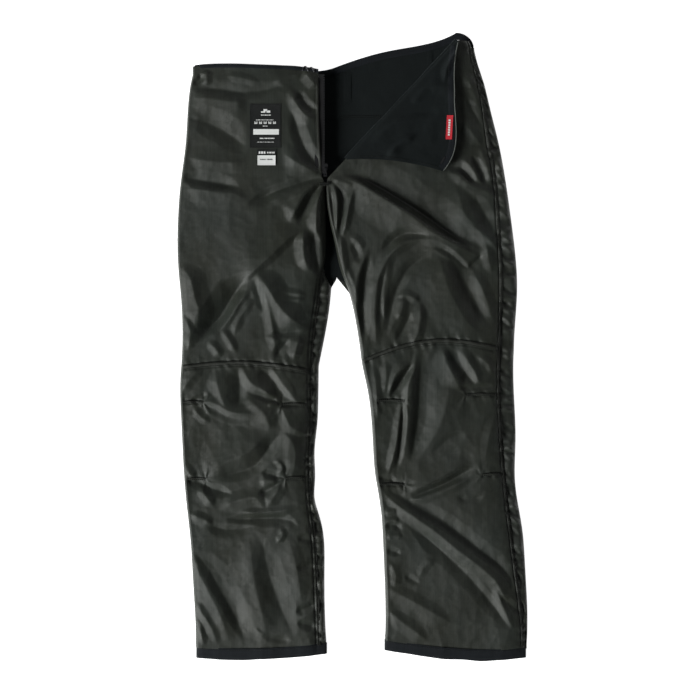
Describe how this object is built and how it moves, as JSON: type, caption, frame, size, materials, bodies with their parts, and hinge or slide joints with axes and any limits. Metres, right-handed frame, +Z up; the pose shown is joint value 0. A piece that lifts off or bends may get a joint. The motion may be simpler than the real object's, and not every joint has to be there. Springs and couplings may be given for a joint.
{
  "type": "chainsaw protective trousers",
  "caption": "Full-length forestry trousers with loose-fibre cut protection in both legs, turned inside out and laid flat, with the fly open and its corner folded back.",
  "frame": {"origin": "on the floor under the middle of the garment's box", "axes": "+Y towards the waist, +X to the viewer's right looking down on the open front, +Z up off the floor"},
  "size_m": [0.6511, 1.1672, 0.0317],
  "materials": {
    "lining_cloth": "satin olive-grey woven nylon with a fine rib along the leg",
    "shell_cloth": "matte black woven polyester",
    "trim_cloth": "blue-black woven binding with a soft sheen",
    "seam_cloth": "felled lining seam with two rows of stitches",
    "pack_fibre": "loose off-white knitted long-fibre layers",
    "label_cloth": "woven black label satin",
    "tab_cloth": "woven red ribbon",
    "zip_tape": "black woven zip tape",
    "zip_plastic": "moulded black teeth",
    "dark_metal": "black lacquered zinc and steel",
    "thread": "dense dark thread"
  },
  "bodies": {
    "trousers": {"belt_loops": "shell_cloth", "care_label": "label_cloth", "fly_bar_tack": "thread", "left_back_lining": "lining_cloth", "left_back_shell": "shell_cloth", "left_inseam_roll_upper": "lining_cloth", "left_inseam_upper": "seam_cloth", "left_outseam_upper": "seam_cloth", "left_thigh_lining": "lining_cloth", "left_thigh_pack": "pack_fibre", "left_thigh_shell": "shell_cloth", "left_yoke_shell": "shell_cloth", "right_back_lining": "lining_cloth", "right_back_shell": "shell_cloth", "right_inseam_upper": "seam_cloth", "right_outseam_roll_upper": "lining_cloth", "right_outseam_upper": "seam_cloth", "right_thigh_lining": "lining_cloth", "right_thigh_pack": "pack_fibre", "right_thigh_shell": "shell_cloth", "right_yoke_shell": "shell_cloth", "waist_binding_back": "trim_cloth", "waist_binding_front": "trim_cloth", "waist_hook": "dark_metal", "zip_stops": "zip_plastic", "zip_tape_left": "zip_tape", "zip_teeth_left": "zip_plastic"},
    "left_lower_leg": {"left_hem_band": "trim_cloth", "left_inseam_lower": "seam_cloth", "left_inseam_roll_lower": "lining_cloth", "left_knee_darts": "thread", "left_knee_seam": "seam_cloth", "left_lower_back_lining": "lining_cloth", "left_lower_back_shell": "shell_cloth", "left_lower_lining": "lining_cloth", "left_lower_pack": "pack_fibre", "left_lower_shell": "shell_cloth", "left_outseam_lower": "seam_cloth"},
    "right_lower_leg": {"right_hem_band": "trim_cloth", "right_inseam_lower": "seam_cloth", "right_knee_darts": "thread", "right_knee_seam": "seam_cloth", "right_lower_back_lining": "lining_cloth", "right_lower_back_shell": "shell_cloth", "right_lower_lining": "lining_cloth", "right_lower_pack": "pack_fibre", "right_lower_shell": "shell_cloth", "right_outseam_lower": "seam_cloth", "right_outseam_roll_lower": "lining_cloth"},
    "fly_flap": {"fly_flap_binding": "trim_cloth", "fly_flap_lining": "lining_cloth", "fly_flap_shell": "shell_cloth", "waist_bar": "dark_metal", "zip_tape_right": "zip_tape", "zip_teeth_right": "zip_plastic"},
    "zip_slider": {"zip_slider": "dark_metal"},
    "zip_pull": {"zip_pull": "dark_metal"},
    "size_label": {"size_label": "label_cloth"},
    "side_tab": {"side_tab": "tab_cloth"}
  },
  "joints": [
    {"name": "left_knee_fold", "type": "hinge", "parent": "trousers", "child": "left_lower_leg", "pos_m": [-0.19, -0.036, 0.0256], "axis": [-1, 0, 0], "range_deg": [0, 170]},
    {"name": "right_knee_fold", "type": "hinge", "parent": "trousers", "child": "right_lower_leg", "pos_m": [0.15, -0.008, 0.0256], "axis": [-1, 0, 0], "range_deg": [0, 170]},
    {"name": "fly_corner_fold", "type": "hinge", "parent": "trousers", "child": "fly_flap", "pos_m": [-0.046, 0.312, 0.0259], "axis": [-0.6841, -0.7294, 0], "range_deg": [0, 178]},
    {"name": "zip_slider_run", "type": "slide", "parent": "trousers", "child": "zip_slider", "axis": [0, 1, 0], "range_m": [0, 0.15]},
    {"name": "zip_pull_tilt", "type": "hinge", "parent": "zip_slider", "child": "zip_pull", "pos_m": [-0.0508, 0.3285, 0.0265], "axis": [-1, 0, 0], "range_deg": [0, 170]},
    {"name": "size_label_flip", "type": "hinge", "parent": "trousers", "child": "size_label", "pos_m": [-0.159, 0.3645, 0.0248], "axis": [-1, 0, 0], "range_deg": [0, 150]},
    {"name": "side_tab_flip", "type": "hinge", "parent": "fly_flap", "child": "side_tab", "pos_m": [0.1845, 0.404, 0.0314], "axis": [0.0523, 0.9986, 0], "range_deg": [0, 150]}
  ]
}
